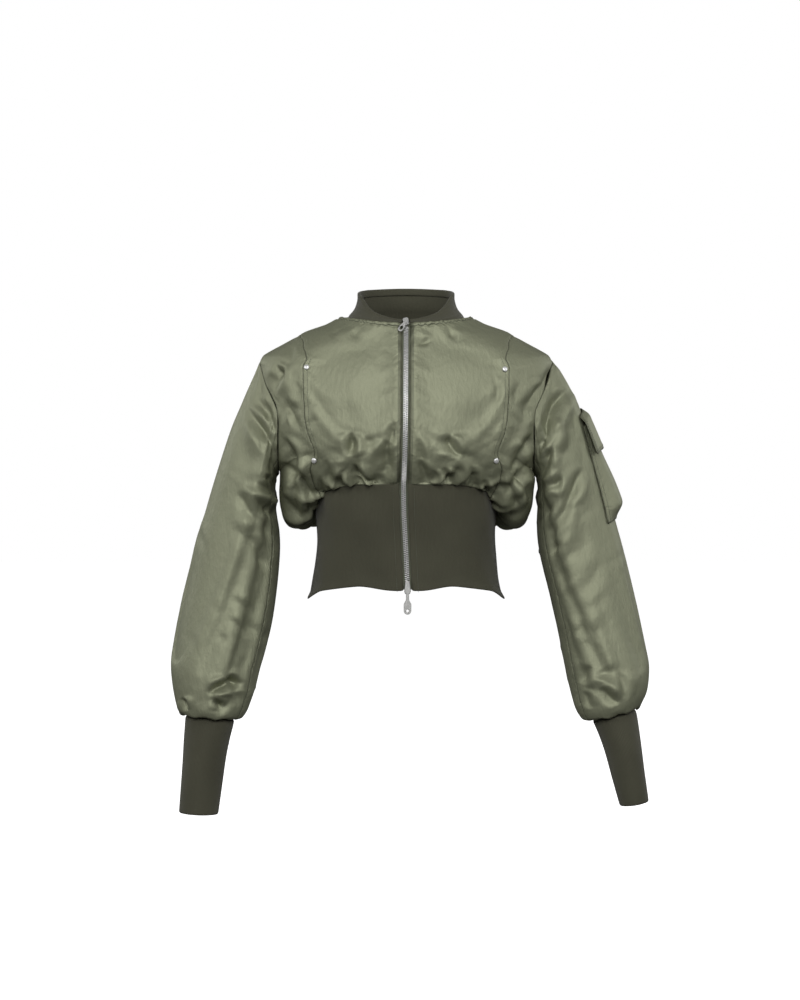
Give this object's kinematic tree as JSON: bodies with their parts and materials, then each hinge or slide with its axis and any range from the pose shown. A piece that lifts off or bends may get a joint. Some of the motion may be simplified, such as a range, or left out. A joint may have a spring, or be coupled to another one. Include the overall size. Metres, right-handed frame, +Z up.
{
  "type": "bomber jacket",
  "caption": "Cropped padded bomber jacket, filled out and hollow, with rib collar, waistband and cuffs, front zip, slit pockets and a sleeve pocket.",
  "frame": {"origin": "midway between the two points where collar meets shoulder, where the wearer's shoulders carry the jacket", "axes": "+Z up, -Y towards the wearer's front, +X towards the wearer's left"},
  "size_m": [0.6617, 0.2592, 0.7277],
  "materials": {
    "shell": "satin padded nylon, olive green",
    "rib": "fine rib knit, dark olive",
    "tape": "woven zip tape, olive",
    "metal": "polished silver-coloured metal"
  },
  "bodies": {
    "jacket": {"centre_front_right": "shell", "centre_front_left": "shell", "side_front_right": "shell", "side_front_left": "shell", "back": "shell", "upper_sleeve_right": "shell", "under_sleeve_right": "shell", "upper_sleeve_left": "shell", "under_sleeve_left": "shell", "sleeve_pocket": "shell", "pocket_flap": "shell", "cuff_right": "rib", "cuff_left": "rib", "waistband": "rib", "collar": "rib", "zip_tape_right": "tape", "zip_tape_left": "tape", "zip_chain": "metal", "top_slider": "metal", "low_slider": "metal", "rivet_upper_right": "metal", "rivet_lower_right": "metal", "rivet_upper_left": "metal", "rivet_lower_left": "metal"},
    "upper_pull": {"top_pull": "metal"},
    "lower_pull": {"low_pull": "metal"}
  },
  "joints": [
    {"name": "upper_pull_lift", "type": "hinge", "parent": "jacket", "child": "upper_pull", "pos_m": [-0.00011, -0.08123, -0.00727], "axis": [-0.8571, 0.2034, 0.4733], "range_deg": [0, 120]},
    {"name": "lower_pull_lift", "type": "hinge", "parent": "jacket", "child": "lower_pull", "pos_m": [0.0018, -0.10089, -0.37866], "axis": [-1, 0, 0], "range_deg": [0, 150]}
  ]
}
